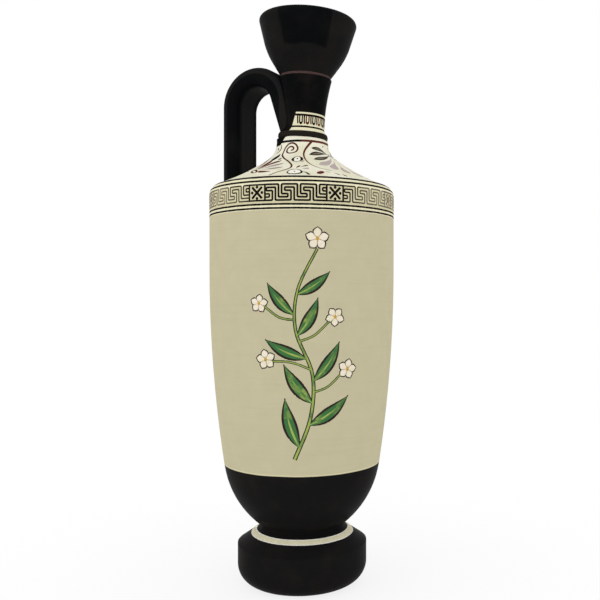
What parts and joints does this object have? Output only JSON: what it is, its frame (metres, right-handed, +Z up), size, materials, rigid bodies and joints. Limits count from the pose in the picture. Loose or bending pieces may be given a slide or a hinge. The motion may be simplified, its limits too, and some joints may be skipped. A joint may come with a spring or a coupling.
{
  "type": "lekythos",
  "caption": "Tall white-ground oil flask with a calyx mouth, slender neck, strap handle, long cylindrical body and disc foot.",
  "frame": {"origin": "centre of the foot's resting ring, on the surface that the flask stands on", "axes": "+Z up along the axis of the body, -X towards the handle"},
  "size_m": [0.1, 0.1, 0.3072],
  "materials": {
    "black_glaze": "satin black slip glaze",
    "white_ground": "satin buff-white slip with painted ornament",
    "slip": "matte clay slip"
  },
  "bodies": {
    "root": {"foot": "black_glaze", "foot_luting": "slip", "body": "white_ground", "shoulder_luting": "slip", "shoulder": "white_ground", "neck_luting": "slip", "neck": "black_glaze", "mouth_luting": "slip", "mouth": "black_glaze", "handle_shoulder_luting": "slip", "handle_neck_luting": "slip", "handle": "black_glaze"}
  },
  "joints": []
}
